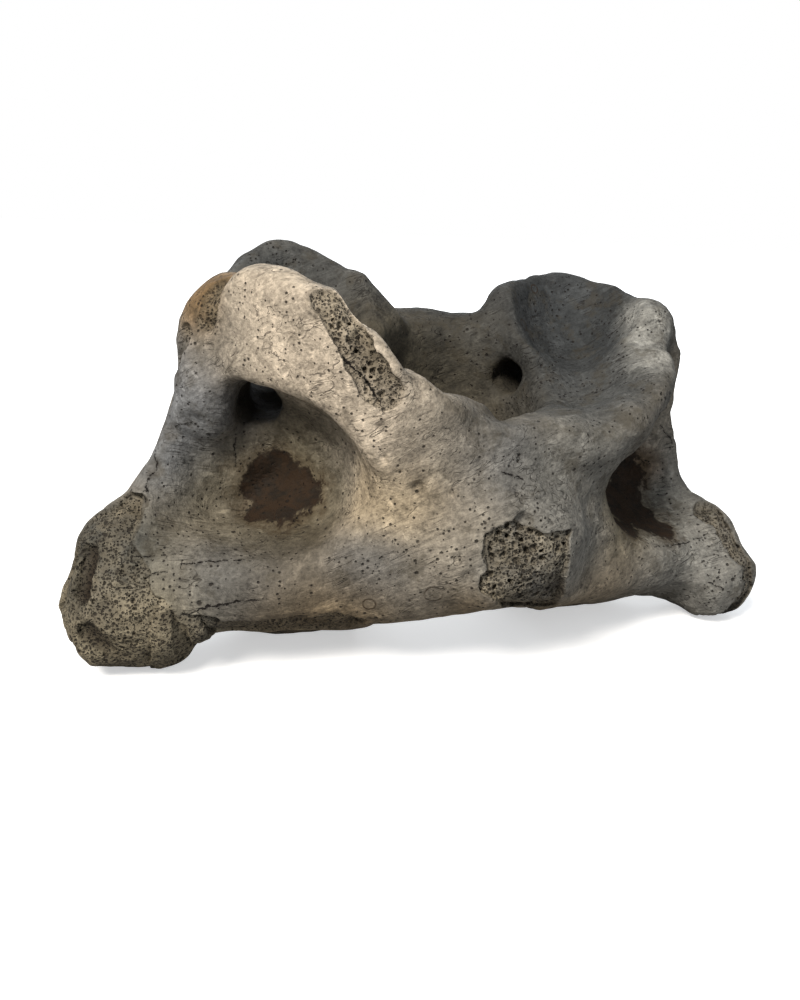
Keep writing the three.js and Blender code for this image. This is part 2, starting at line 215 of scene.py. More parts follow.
# worn and broken places: outlines in x and z with the y that they end at, and bars along edges
worn = {
    "tip": [([(-48, -5), (-60.5, 15.4), (-61.7, 17.6), (-64, 20.8), (-65.5, 23.8), (-67.4, 26.2),
              (-64.9, 29.6), (-64, 33.5), (-90, 33.5), (-90, -5)], 0)],
    "strip": [([(-60.5, -5), (-60.5, 15.4), (-53, 14.3), (-47, 13.3),
                (-38, 13.8), (-31, 14.6), (-25, 13), (-25, -5)], -9)],
    "ventral": [([(-6.7, 32), (-1.7, 35), (4.3, 32), (9.3, 32), (9.3, 25), (13.3, 13), (-0.7, 15), (-7.7, 22)], -15)],
    "lip": [((-35.5, -23.5, 73), (-26.5, -29.5, 57), 2.6, 3.2)],
    "corner": [((-49, -1, 73.5), (-52, -2, 66.5), 3.4, 2.6)],
    "leftMargin": [((-55.5, 3, 63), (-57.3, 7, 50), 2.2, 2.2)],
    "rightTip": [((60, -6, 25), (63, -14, 16), 2.8, 2.8), ((63, -14, 16), (66, -15.5, 9), 2.8, 2.8),
                 ((66, -15.5, 9), (61, -12.5, 1.5), 2.8, 2.8)],
}


def ring(p):
    spec = boneShape["ring"]
    v = (p[1] - spec["y"]) / spec["halfDepth"]
    reach = np.hypot(p[0] / spec["halfWidth"], v)
    top = blend(spec["ventralTop"], spec["dorsalTop"], ramp(v / np.maximum(reach, 1e-6), -1, 1))
    return meet(meet((reach - 1) * spec["halfDepth"], p[2] - top, soft["ring"]), -p[2], soft["face"])


def canal(p):
    spec = boneShape["canal"]
    grow = 1 + spec["flare"] * (1 - ramp(p[2], 0, spec["flareBelow"]))
    return (np.hypot(p[0] / spec["halfWidth"], (p[1] - spec["y"]) / spec["halfDepth"]) - grow) * spec["halfWidth"]


def halfMass(p, half):
    wing = boneShape["wing"]
    fallen = wing["fall"] * (p[0] - wing["root"]) + half["lean"] * (1 - ramp(p[2], *boneShape["lean"]))
    thick = blend(wing["half"], wing["edgeHalf"], ramp(p[0], wing["thickFrom"], wing["thickTo"]))
    d = meet(outline(p[0], p[2], half["wing"]), np.abs(p[1] - wing["rootY"] + fallen) - thick, soft["wingEdge"])
    centre = half["walls"]["at"]
    angle = np.degrees(np.arctan2(centre[1] - p[1], p[0] - centre[0]))
    walls = ellipsoid(p, turn=boneShape["cupTurn"], **half["walls"])
    nx, ny, nz, reach = half["shoulder"]
    walls = meet(walls, nx * p[0] + ny * p[1] + nz * p[2] - reach, soft["shoulder"])
    walls = meet(walls, p[2] - curve(angle, half["rim"]), soft["rim"])
    d = join(d, meet(walls, half["foot"] - p[2], soft["foot"]), soft["wing"])
    d = join(d, ellipsoid(p, **boneShape["caudalMass"]), soft["wing"])
    d = join(d, bar(p, *half["lowerBar"]), soft["lowerBar"])
    return join(d, bar(p, *half["margin"]), soft["margin"])


def halfCup(p, half):
    turn = boneShape["cupTurn"]
    main = ellipsoid(p, turn=turn, **boneShape["cup"])
    return join(main, ellipsoid(p, turn=turn, **half["ventralCup"]), soft["cupParts"])


def halfHollow(p, half):
    alar, spinal = boneShape["alarForamen"], boneShape["spinalForamen"]
    d = ellipsoid(p, turn=boneShape["fossaTurn"], **half["fossa"])
    for other in (
        bar(p, alar["mouth"], alar["bend"], alar["wide"], alar["narrow"]),
        bar(p, alar["bend"], alar["end"], alar["narrow"], alar["narrow"]),
        ellipsoid(p, **boneShape["dorsalFossa"]),
        bar(p, spinal["mouth"], spinal["end"], spinal["mouthRadius"], spinal["endRadius"]),
    ):
        d = join(d, other, soft["openings"])
    return d


def wornGap(p, names):
    # millimetres from the nearest of these places, negative inside
    gaps = []
    for shape in sum((worn[name] for name in names), []):
        if len(shape) == 2:
            gaps.append(np.maximum(outline(p[0], p[2], shape[0]), p[1] - shape[1]))
        else:
            gaps.append(bar(p, *shape))
    return np.minimum.reduce(gaps)


def skinBone(p):
    # the bone as it was before it broke
    sides = [([p[0] * half["side"], p[1], p[2]], half) for half in (boneShape["left"], boneShape["right"])]
    d = ring(p)
    for q, half in sides:
        d = join(d, halfMass(q, half), soft["masses"])
    for name in ("ventralTubercle", "dorsalTubercle"):
        d = join(d, ellipsoid(p, **boneShape[name]), soft["tubercle"])
    face = boneShape["caudalFace"]
    below = face["height"] - face["slope"] * p[1] - p[2]
    d = meet(d, join(below, face["reach"] - np.abs(p[0]), face["fade"]), soft["face"])
    d = cut(d, canal(p), soft["canal"])
    d = cut(d, np.minimum(*[halfCup(q, half) for q, half in sides]), soft["cups"])
    d = cut(d, np.minimum(*[halfHollow(q, half) for q, half in sides]), soft["hollows"])
    d = cut(d, ellipsoid(p, **boneShape["caudalNotch"]), soft["notch"])
    height, waves = boneShape["swell"]
    return d + height * sum(np.sin(a * p[0] + b * p[1] + c * p[2] + start) for a, b, c, start in waves) / len(waves)


def finished(p, d):
    for furrow in boneShape["furrows"]:
        d = cut(d, bar(p, *furrow), soft["furrow"])
    return meet(d, -p[2], soft["floor"])


def plainBone(p):
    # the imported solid
    depth, fade = boneShape["wear"]
    return finished(p, skinBone(p) + depth * (1 - ramp(wornGap(p, worn), -fade, fade)))


# a net of quads where a field is zero, with one vertex in each grid cell that the surface crosses
def gridOf(low, high, cell):
    counts = [int(math.ceil((b - a) / cell)) + 1 for a, b in zip(low, high)]
    axes = [(a + cell * np.arange(n)).astype(np.float32) for a, n in zip(low, counts)]
    return np.meshgrid(*axes, indexing="ij")


def shifted(value, steps):
    return value[tuple(slice(step, step - 1 or None) for step in steps)]


def fillPinches(value):
    # fills grid points where two parts of the bone would touch only along an edge or at a corner
    filled = -0.02
    square = [(0, 0), (1, 0), (1, 1), (0, 1)]
    diagonals = [((0, 0, 0), (1, 1, 1)), ((1, 0, 0), (0, 1, 1)), ((0, 1, 0), (1, 0, 1)), ((0, 0, 1), (1, 1, 0))]
    changed = True
    while changed:
        changed = False
        for axis in range(3):
            corners = [[slice(step, step - 1 or None) for step in pair] for pair in square]
            for corner in corners:
                corner.insert(axis, slice(None))
            a, b, c, d = (value[tuple(corner)] for corner in corners)
            pinched = ((a < 0) == (c < 0)) & ((b < 0) == (d < 0)) & ((a < 0) != (b < 0))
            if not pinched.any():
                continue
            changed = True
            fills = [(one, pinched & (one > 0) & (one <= other)) for one, other in ((a, c), (b, d))]
            fills += [(other, pinched & (one > 0) & (one > other)) for one, other in ((a, c), (b, d))]
            for view, where in fills:
                view[where] = filled
        for one, other in diagonals:
            p, q = shifted(value, one), shifted(value, other)
            rest = [shifted(value, step) < 0 for pair in diagonals if pair != (one, other) for step in pair]
            pinched = (p < 0) == (q < 0)
            for inside in rest:
                pinched &= inside != (p < 0)
            if pinched.any():
                changed = True
                emptier = pinched & (p >= 0)
                fuller = pinched & (p < 0)
                p[emptier] = filled
                shifted(value, diagonals[(diagonals.index((one, other)) + 1) % 4][0])[fuller] = filled


def layNet(value, low, cell):
    shape = np.array(value.shape)
    inside = value < 0
    cells, places, quads = [], [], []
    for m in range(3):
        u, v = (m + 1) % 3, (m + 2) % 3
        lower, upper = (inside.take(range(a, shape[m] - 1 + a), axis=m) for a in (0, 1))
        at = np.argwhere(lower != upper)
        ahead = at.copy()
        ahead[:, m] += 1
        here, there = value[tuple(at.T)], value[tuple(ahead.T)]
        place = at.astype(np.float64)
        place[:, m] += here / (here - there)
        around = []
        for du, dv in ((1, 1), (0, 1), (0, 0), (1, 0)):
            cell4 = at.copy()
            cell4[:, u] -= du
            cell4[:, v] -= dv
            around.append(np.ravel_multi_index(tuple(cell4.T), tuple(shape)))
            cells.append(around[-1])
            places.append(place)
        quad = np.stack(around, 1)
        quads.append(np.where((here > 0)[:, None], quad[:, ::-1], quad))
    cells, places, quads = np.concatenate(cells), np.concatenate(places), np.concatenate(quads)
    used, vertexOf, counts = np.unique(cells, return_inverse=True, return_counts=True)
    vertexOf = vertexOf.reshape(-1)
    points = np.stack([np.bincount(vertexOf, places[:, m]) / counts for m in range(3)], 1)
    return points * cell + np.array(low), np.searchsorted(used, quads)


def rises(field, p, d, nudge):
    # how much the field rises from d for a small step along each axis
    return np.stack([field([c + nudge * (m == n) for n, c in enumerate(p)]) - d for m in range(3)], 1)


def settle(points, field, steps):
    # draws each point onto the surface along the field's slope
    nudge, leastSlope, farthest = 0.05, 0.3, 0.35
    for _ in range(steps):
        p = list(points.T)
        d = field(p)
        rise = rises(field, p, d, nudge) / nudge
        move = -d[:, None] * rise / np.maximum((rise ** 2).sum(1), leastSlope)[:, None]
        length = np.maximum(np.linalg.norm(move, axis=1, keepdims=True), 1e-9)
        points = points + move * np.minimum(1, farthest / length)
    return points


def largestBody(points, quads):
    # drops loose scraps
    label = np.arange(len(points))
    while True:
        low = label.copy()
        np.minimum.at(low, quads.ravel(), np.repeat(label[quads].min(1), 4))
        low = low[low]
        if (low == label).all():
            break
        label = low
    names, counts = np.unique(label, return_counts=True)
    stays = label == names[counts.argmax()]
    renumber = np.cumsum(stays) - 1
    return points[stays], renumber[quads[stays[quads[:, 0]]]]


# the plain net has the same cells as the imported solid, so its box gives the place of the field in the frame
low, high = boneShape["space"]
grid = gridOf(low, high, boneShape["plainCell"])
points, quads = layNet(plainBone(grid), low, boneShape["plainCell"])
points = settle(points, plainBone, 3)
solidLow, solidHigh = (np.array(corner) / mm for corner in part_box("atlas"))
shift = (solidLow + solidHigh - points.min(0) - points.max(0)) / 2
print("plain net", len(points), "points, shift", shift.round(2))


# camera; its target is in the field's own frame
cameraView = {
    "azimuth": 20.0,   # degrees from straight in front, towards the left half
    "elevation": 17.0,
    "roll": 3.0,
    "distance": 198.0,
    "target": (-12.0, 0.0, 29.0),
    "lens": 34.2,
    "sensor": 36.0,
}


def newObject(name, data):
    made = bpy.data.objects.new(name, data)
    bpy.context.scene.collection.objects.link(made)
    return made


def makeCamera(spec, shift):
    azimuth, elevation, roll = (math.radians(spec[key]) for key in ("azimuth", "elevation", "roll"))
    level = math.cos(elevation)
    back = Vector((-math.sin(azimuth) * level, -math.cos(azimuth) * level, math.sin(elevation)))
    side = Vector((0, 0, 1)).cross(back).normalized()
    up = back.cross(side)
    right = side * math.cos(roll) + up * math.sin(roll)
    up = back.cross(right)
    data = bpy.data.cameras.new("camera")
    data.lens = spec["lens"]
    data.sensor_width = spec["sensor"]
    data.clip_start = 0.01
    camera = newObject("camera", data)
    place = (Vector(spec["target"]) + Vector(shift) + back * spec["distance"]) * mm
    camera.matrix_world = Matrix.Translation(place) @ Matrix((right, up, back)).transposed().to_4x4()
    bpy.context.scene.camera = camera


makeCamera(cameraView, shift)
print("camera placed")


# places on the bone are written from this point of the field's frame
spotOrigin = (3.66, 0.81, 0.0)


def fromSpot(place):
    return [a - b for a, b in zip(place, spotOrigin)]


def toSpot(p):
    return [a + b for a, b in zip(p, spotOrigin)]


def distance(p, place):
    return np.sqrt(sum((a - b) ** 2 for a, b in zip(p, place)))


def away(p, place):
    return distance(p, fromSpot(place))


def patchOf(p, place, reach):
    # 1 at the place, fading to 0 beyond its reach
    return np.exp(-(away(p, place) / reach) ** 2)


# relief of the whole bone, in millimetres: cell, height
relief = {"broad": (7.0, 0.4), "middle": (3.4, 0.25), "small": (1.9, 0.12)}
reliefNoise = [(makeNoise(cell, seed), height) for seed, (cell, height) in enumerate(relief.values(), 11)]

# a broken edge wanders and has small chips: cell, reach
brokenEdge = {"wander": (3.2, 0.8), "chips": (1.1, 0.35)}
edgeNoise = [(makeNoise(cell, seed), reach) for seed, (cell, reach) in enumerate(brokenEdge.values(), 21)]


def brokenGap(p, names):
    return wornGap(p, names) + sum(reach * noise(p) for noise, reach in edgeNoise)


def onSurface(places):
    # draws places onto the bone
    return settle(np.array([fromSpot(place) for place in places], float), plainBone, 6)


# the broad plate of the left wall: normal and reach of its plane, middle, and the fade towards its rim
wallPlate = {
    "normal": (-0.81, -0.577, -0.102),
    "reach": 37.6,
    "middle": (-41, -17, 63),
    "fade": (15, 23),
    "soft": 1.5,
}
# bone beside the left alar foramen's mouth
foramenEdge = {"at": (-50.5, 1.5, 52), "size": (4.5, 4.5, 8), "soft": 5}

# pits that go into the bone: place, radius, depth
pits = [
    ((-15, -26, 40), 1.3, 1.6), ((-9, -27, 39), 0.8, 1.0), ((-4, -29, 38), 0.9, 1.0), ((-20, -25, 26), 0.8, 0.9),
    ((-8, -30, 27), 0.9, 1.0), ((-6, -31, 24), 0.8, 0.8), ((-15, -27, 23), 0.8, 0.8), ((-22, -27, 46), 0.7, 0.8),
    ((-19, -27, 43), 0.7, 0.8), ((-31, -7, 29), 1.5, 1.8), ((-29, -3, 46), 0.9, 1.2), ((-35, -21, 71), 0.8, 0.8),
    ((-36, -21, 68), 0.7, 0.8), ((18, 14, 52), 1.2, 1.6), ((3, -33, 34), 1.6, 2.4), ((-55, 3, 44.5), 1.5, 1.6),
    ((-58, 1, 38), 1.6, 1.4), ((-60, -1, 31), 1.5, 1.3), ((-44, -14, 69), 0.7, 0.8), ((-30, -25, 52), 0.7, 0.8),
]
pitPlaces = onSurface([pit[0] for pit in pits])
pitFloor, pitRim = 0.4, 1.3   # parts of the radius


def detailedBone(p, skin=None):
    d = skinBone(p) if skin is None else skin
    d = join(d, ellipsoid(p, foramenEdge["at"], foramenEdge["size"]), foramenEdge["soft"])
    over = sum(a * b for a, b in zip(p, wallPlate["normal"])) - wallPlate["reach"]
    d = blend(meet(d, over, wallPlate["soft"]), d, ramp(distance(p, wallPlate["middle"]), *wallPlate["fade"]))
    for noise, height in reliefNoise:
        d = d + height * noise(p)
    for place, (_, radius, depth) in zip(pitPlaces, pits):
        d = d + depth * (1 - ramp(distance(p, place), radius * pitFloor, radius * pitRim))
    return d


# the main bone: the skin is cut away a little past each broken edge, where the fine pieces carry it
mainBone = {"cell": 0.8, "near": 4.0, "cutDown": 4.2, "cutWidth": 1.0}


def mainField(p, skin=None):
    d = detailedBone(p, skin) + mainBone["cutDown"] * (1 - ramp(brokenGap(p, worn), 0, mainBone["cutWidth"]))
    return finished(p, d)


def netOf(field, low, high, cell, steps=2):
    value = field(gridOf(low, high, cell))
    for axis in range(3):
        for end in (0, -1):
            face = value.swapaxes(0, axis)[end]
            np.maximum(face, cell, out=face)
    fillPinches(value)
    points, quads = layNet(value, low, cell)
    points, quads = largestBody(points, quads)
    return settle(points, field, steps), quads


low, high = boneShape["space"]
grid = gridOf(low, high, mainBone["cell"])
value = np.concatenate([skinBone([c[i:i + 24] for c in grid]) for i in range(0, grid[0].shape[0], 24)])
nearby = np.abs(value) < mainBone["near"] + 1
value[nearby] = mainField([c[nearby] for c in grid], value[nearby])
print("main field", value.shape, int(nearby.sum()))
fillPinches(value)
points, quads = layNet(value, low, mainBone["cell"])
points, quads = largestBody(points, quads)
points = settle(points, mainField, 2)
print("main bone", len(points), "points", 2 * len(quads), "triangles")


# fine pieces along the broken edges: crisp skin that ends in a step, and open spongy bone beyond it
fine = {
    "thick": 4.8,        # how deep the piece goes, into the main bone
    "proud": 0.04,       # its skin lies over the main bone's by this much
    "over": 1.9,         # past the broken edge as far as this
    "sink": (1.4, 0.5),  # then it sinks into the main bone: length, depth
    "step": 1.1,         # height of the skin's broken edge
    "stepWidth": (-0.3, 0.15),
    "rim": 0.35,         # no cell opens nearer to that edge
    "lobes": (5.0, 0.6),   # cell and height of the lumps of the spongy surface
    "lumps": (1.7, 0.3),
}
lobes, lumps = makeNoise(fine["lobes"][0], 32), makeNoise(fine["lumps"][0], 33)
# for each: grid cell, box, size of the open cells, thickness of their walls and depth of the open layer
finePieces = {
    "tip": (0.34, (-84, -29, -3), (-40, 8, 41), 1.15, 0.5, 1.9),
    "strip": (0.36, (-67, -30, -3), (-19, -3, 21), 1.15, 0.5, 1.9),
    "ventral": (0.34, (-15, -42, 6), (21, -8, 42), 1.3, 0.34, 2.6),
    "lip": (0.36, (-43, -39, 48), (-18, -15, 82), 1.2, 0.38, 2.4),
    "corner": (0.4, (-60, -12, 57), (-40, 10, 83), 1.1, 0.5, 1.8),
    "leftMargin": (0.4, (-65, -6, 41), (-47, 16, 72), 1.1, 0.5, 1.8),
    "rightTip": (0.38, (52, -25, -4), (76, 3, 34), 1.15, 0.5, 1.8),
}


def fineField(p, name):
    cellSize, wall, openDepth = finePieces[name][3:]
    foam = makeCells(cellSize, 31)
    d = detailedBone(p)
    gap = brokenGap(p, [name])
    length, depth = fine["sink"]
    skin = d - fine["proud"] + depth * ramp(gap, fine["over"], fine["over"] + length)
    inside = 1 - ramp(gap, *fine["stepWidth"])
    skin = skin + inside * (fine["step"] + fine["lobes"][1] * lobes(p) + fine["lumps"][1] * lumps(p))
    first, second = foam(p)
    opening = np.maximum(np.maximum(wall - (second - first), gap + fine["rim"]), -(d + openDepth))
    body = finished(p, np.maximum(skin, -opening))
    return np.maximum(np.maximum(body, -(d + fine["thick"])), gap - fine["over"] - length)


# colours of the dry bone, named for what they are; some are painted shade, marked where they are placed
palette = {
    "cream": "b9ab98", "warmCream": "b3a184", "paleTip": "8d836c", "grey": "75746f", "warmGrey": "8b8376",
    "blueGrey": "6b6e72", "darkGrey": "5b5c5c", "cupShade": "303335", "ridgeGreyAndShade": "464746", "tipGrey": "4a4b47",
    "bevelGrey": "96948d", "olive": "5c553f", "deepOliveAndShade": "373122", "orange": "6f5737", "ochre": "6b4a22",
    "tan": "7d6b50", "holeShade": "0d0b08",
}
stainColours = {"middle": "28190b", "edge": "170e07", "halo": "463721", "dark": "150d06", "ring": "2a1d0f"}
# where each colour lies: place, reach, strength
colourPlaces = {
    "cream": [((-40, -16, 66), 11, 1.5), ((-33, -24, 60), 8, 1.5), ((-22, -24, 48), 9, 1.2)],
    "warmCream": [((-22, -22, 39), 6, 1.5), ((-16, -26, 37), 6, 1.0)],
    "warmGrey": [((-46, -8, 62), 7, 1.0), ((-10, -28, 47), 8, 1.2), ((-8, -30, 31), 7, 1.5),
        ((-14, -28, 20), 7, 1.0), ((-24, -8, 42), 7, 1.5), ((56, 4, 46), 8, 1.5), ((0, 30, 40), 20, 0.6),
        ((-40, 16, 30), 20, 0.8)],
    "darkGrey": [((0, -28, 46), 8, 1.5), ((-22, -26, 24), 8, 1.2), ((-50, -15, 18), 8, 1.2)],
    "grey": [((0, -33, 23), 6, 1.2), ((12, -29, 41), 8, 1.2), ((20, -26, 42), 7, 1.2), ((18, -25, 28), 8, 1.2),
        ((5, -33, 25), 9, 1.2), ((58, 0, 30), 9, 1.5), ((52, -12, 16), 10, 1.2), ((64, -12, 8), 8, 1.2),
        ((47, 2, 70), 5, 1.5), ((40, 16, 30), 20, 0.8)],
    "tan": [((-3, -30, 17), 5, 1.5), ((-24, -24, 14), 7, 1.0), ((-36, -19, 12), 9, 1.2), ((0, 0, 0), 40, 0.3)],
    "blueGrey": [((-48, 4, 50), 8, 1.8), ((-54, 0, 42), 7, 2.5)],
    "olive": [((-46, 0, 36), 9, 1.2), ((-30, -4, 38), 8, 1.5), ((36, -4, 28), 9, 1.5), ((28, -10, 30), 8, 1.5),
        ((46, -2, 26), 8, 1.2)],
    # the two places in the canal and the one at the bottom of the left cup are painted shade; the first place darkens
    # the left wing low down
    "deepOliveAndShade": [((-36, -8, 28), 8, 1.5), ((0, 4, 44), 15, 3.0), ((0, 20, 50), 14, 3.0),
        ((-24, 14, 60), 9, 3.0)],
    # painted shade on the right half's near rim, at (32, -6, 55) and (22, -14, 51); the other places darken the left
    # wing low down and the far rim
    "ridgeGreyAndShade": [((-40, -18, 20), 8, 1.2), ((32, -6, 55), 9, 4.0), ((22, -14, 51), 9, 3.5),
        ((-20, 24, 70), 11, 2.5), ((-36, 26, 74), 9, 2.5)],
    "paleTip": [((-60, -14, 12), 9, 1.5), ((-70, -6, 8), 8, 1.2)],
    "tipGrey": [((-68, -10, 20), 8, 2.0), ((-66, -6, 24), 7, 2.0)],
    # painted shade over the right cup and the dorsal arch beside it
    "cupShade": [((36, 23, 69), 13, 4.0), ((30, 8, 57), 12, 4.0), ((43, 9, 63), 9, 3.0),
        ((10, 26, 62), 12, 3.0)],
    "orange": [((-46, 3, 69), 5, 2.5)],
    "ochre": [((53, 5, 33), 4, 1.5)],
    # painted shade: near black inside the left alar foramen and the right spinal foramen
    "holeShade": [((-36, 9, 52), 7, 8.0), ((25, 18, 53), 6, 6.0)],
    "bevelGrey": [((45.4, 4.6, 68), 4, 5.0), ((46.6, -1.7, 66), 4, 5.0), ((42.4, -3, 63), 3.5, 4.0),
        ((40.7, -9.4, 59.7), 3.5, 4.0)],
}
baseColour, baseStrength = "warmGrey", 0.12
# brown stains: places and reaches that join into one stain
stains = [
    [((-34, 2, 32), 6.5), ((-31, -1, 30), 5.0)],
    [((44, -1, 27), 6.0), ((47, 4, 31), 5.0), ((48, -6, 23), 4.5), ((40, -12, 27), 4.0)],
]
stainSoft = 3.0
# hairline cracks: points along each, width and channel; cracks that run close together take different channels
cracks = [
    ([(-57, -16, 15), (-52, -16, 16), (-45, -18, 18), (-39, -19, 19)], 0.5, 0),
    ([(-56, -12, 23), (-50, -14, 24), (-41, -15, 24)], 0.28, 1),
    ([(-61, -12, 21), (-56, -13, 22)], 0.22, 0),
    ([(-63, -9, 24), (-58, -10, 24)], 0.22, 0),
    ([(-57, 3, 41), (-59, 0, 36), (-61, -2, 31)], 0.3, 0),
    ([(-54, 3, 45), (-51, 2, 47), (-49, 1, 50)], 0.3, 1),
    ([(-31, -25, 66), (-28, -27, 62), (-26, -28, 59), (-22, -29, 54)], 0.4, 0),
    ([(-42, 4, 46), (-42, 5, 36)], 0.22, 0),
    ([(55, 4, 43), (60, 2, 37)], 0.3, 0),
    ([(43, -16, 21), (54, -14, 22), (64, -11, 22)], 0.25, 0),
    ([(58, -15, 12), (65, -17, 9)], 0.25, 1),
    ([(0, -28, 43), (6, -30, 41)], 0.3, 0),
]
crackNear = (1.0, 1.6)
crackNudge = 0.2
# thin brown rings left by something round: place, radius, and the width of their line
ringMarks = [((-11, -27, 20), 1.7), ((-22, -23, 17), 1.2), ((23, 13, 64), 1.3), ((30, 23, 71), 1.0)]
ringLine = 0.28
# how dense the small pores are: place, reach, strength, over a base that is everywhere
porePlaces = [
    ((47, 2, 69), 6, 1.0), ((38, -16, 56), 6, 1.0), ((32, -6, 55), 9, 0.8), ((43, 6, 63), 6, 0.9),
    ((5, -33, 25), 12, 0.8), ((-15, -26, 30), 10, 0.5), ((-60, -10, 18), 12, 0.6), ((64, -12, 12), 9, 0.7),
    ((-30, 24, 74), 9, 0.6), ((-33, 0, 34), 9, 0.5), ((-46, 3, 69), 9, 0.8), ((-25, -26, 60), 7, 0.5),
    ((20, -2, 54), 8, 0.8),
]
poreBase = 0.45


def linear(code):
    values = np.array([int(code[i:i + 2], 16) / 255 for i in (0, 2, 4)])
    return np.where(values <= 0.04045, values / 12.92, ((values + 0.055) / 1.055) ** 2.4)


def colourAt(p):
    total = np.full(p[0].shape, baseStrength)
    colour = total[:, None] * linear(palette[baseColour])
    for name, places in colourPlaces.items():
        for place, reach, strength in places:
            weight = strength * patchOf(p, place, reach)
            total = total + weight
            colour = colour + weight[:, None] * linear(palette[name])
    return colour / total[:, None]


def stainAt(p):
    gap = np.full(p[0].shape, 99.0)
    for spots in stains:
        one = np.full(p[0].shape, 99.0)
        for place, reach in spots:
            one = join(one, away(p, place) - reach, stainSoft)
        gap = np.minimum(gap, one)
    return np.minimum(gap, 9)


def cracksAt(p, channel):
    # across the crack in millimetres, the part of its length, and its width where the crack is near
    across, along, width = (np.zeros(p[0].shape) for _ in range(3))
    nearest = np.full(p[0].shape, 9.0)
    for places, crackWidth, ownChannel in cracks:
        if ownChannel != channel:
            continue
        line = onSurface([[blend(a, b, t) for a, b in zip(start, end)] for start, end in zip(places, places[1:])
                          for t in np.linspace(0, 1, 4)[:-1]] + [places[-1]])
        edges = np.linalg.norm(np.diff(line, axis=0), axis=1)
        run = np.concatenate([[0], np.cumsum(edges)])
        low, high = line.min(0) - 3, line.max(0) + 3
        near = np.all([(p[m] > low[m]) & (p[m] < high[m]) for m in range(3)], axis=0)
        where = np.flatnonzero(near)
        q = np.stack([c[where] for c in p], 1)
        for i, (start, end) in enumerate(zip(line, line[1:])):
            step = end - start
            t = (q - start) @ step / (step @ step)
            inner = np.clip(t, 0, 1)
            offset = q - start - inner[:, None] * step
            gap = np.linalg.norm(offset, axis=1)
            middle = [np.array([c]) for c in (start + end) / 2]
            side = np.cross(rises(plainBone, middle, plainBone(middle), crackNudge)[0], step)
            side /= np.linalg.norm(side)
            closer = gap < nearest[where]
            chosen = where[closer]
            nearest[chosen] = gap[closer]
            across[chosen] = (offset @ side)[closer]
            along[chosen] = ((run[i] + t * edges[i]) / run[-1])[closer]
            width[chosen] = crackWidth
    width *= 1 - ramp(nearest, *crackNear)
    return np.stack([across, along, width], 1)


def poresAt(p):
    return np.minimum(poreBase + sum(strength * patchOf(p, *spot) for *spot, strength in porePlaces), 1)


def fibresAt(p):
    # weights of the three fibre directions: out along the left wing, the right wing, and across the middle
    x, y, z = toSpot(p)
    left = ramp(-x, 28, 42) * (1 - ramp(z, 44, 56))
    right = ramp(x, 26, 40) * (1 - ramp(z, 40, 52))
    return np.stack([left, right, 1 - left - right], 1)


hollowReach = 6.0


def hollowAt(points, normals):
    # 0 where the bone is flat or bulges, near 1 deep in a hollow; the material paints shade into the hollows by it
    ahead = points + normals * hollowReach
    return np.clip(1 - plainBone(list(ahead.T)) / hollowReach, 0, 1.5)


def makeMesh(name, points, quads):
    mesh = bpy.data.meshes.new(name)
    mesh.vertices.add(len(points))
    mesh.vertices.foreach_set("co", ((points + shift) * mm).astype(np.float32).ravel())
    mesh.loops.add(4 * len(quads))
    mesh.loops.foreach_set("vertex_index", quads.astype(np.int32).ravel())
    mesh.polygons.add(len(quads))
    mesh.polygons.foreach_set("loop_start", np.arange(0, 4 * len(quads), 4, dtype=np.int32))
    mesh.update(calc_edges=True)
    mesh.polygons.foreach_set("use_smooth", np.ones(len(quads), bool))
    normals = np.zeros(3 * len(points), np.float32)
    mesh.vertices.foreach_get("normal", normals)
    normals = normals.reshape(-1, 3).astype(float)
    p = list(points.T)
    values = {
        "tint": colourAt(p),
        "stain": stainAt(p),
        "gap": np.clip(brokenGap(p, worn), -9, 9),
        "depth": np.clip(skinBone(p), -9, 9),
        "crackA": cracksAt(p, 0),
        "crackB": cracksAt(p, 1),
        "pores": poresAt(p),
        "fibres": fibresAt(p),
        "hollow": hollowAt(points, normals),
    }
    for key, data in values.items():
        kind, field = ("FLOAT", "value") if data.ndim == 1 else ("FLOAT_VECTOR", "vector")
        mesh.attributes.new(key, kind, "POINT").data.foreach_set(field, data.astype(np.float32).ravel())
    return newObject(name, mesh)


bonePieces = [makeMesh("atlasBone", points, quads)]
print("main bone made")
for name, (cell, low, high, *_) in finePieces.items():
    points, quads = netOf(lambda p: fineField(p, name), low, high, cell)
    bonePieces.append(makeMesh(name + "Spongy", points, quads))
    print(name, len(points), "points", 2 * len(quads), "triangles")


# shader helpers: each gives the socket that the next node reads
def add(tree, kind, inputs=None, **settings):
    made = tree.nodes.new(kind)
    for key, value in settings.items():
        setattr(made, key, value)
    for key, value in (inputs or {}).items():
        socket = made.inputs[key]
        if isinstance(value, bpy.types.NodeSocket):
            tree.links.new(value, socket)
        else:
            socket.default_value = value
    return made


def calc(tree, operation, *values):
    return add(tree, "ShaderNodeMath", dict(enumerate(values)), operation=operation).outputs[0]


def folded(tree, operation, values):
    total = values[0]
    for value in values[1:]:
        total = calc(tree, operation, total, value)
    return total


def plus(tree, *values):
    return folded(tree, "ADD", values)


def times(tree, *values):
    return folded(tree, "MULTIPLY", values)


def spread(tree, value, low, high, toLow=0.0, toHigh=1.0):
    inputs = {"Value": value, "From Min": low, "From Max": high, "To Min": toLow, "To Max": toHigh}
    return add(tree, "ShaderNodeMapRange", inputs).outputs["Result"]


def mixed(tree, factor, a, b, mode="MIX"):
    return add(tree, "ShaderNodeMix", {0: factor, 6: a, 7: b}, data_type="RGBA", blend_type=mode).outputs[2]


def noiseOf(tree, position, *settings):
    # settings: scale, detail, roughness and perhaps distortion
    inputs = {"Vector": position, **dict(zip(("Scale", "Detail", "Roughness", "Distortion"), settings))}
    return add(tree, "ShaderNodeTexNoise", inputs).outputs["Fac"]


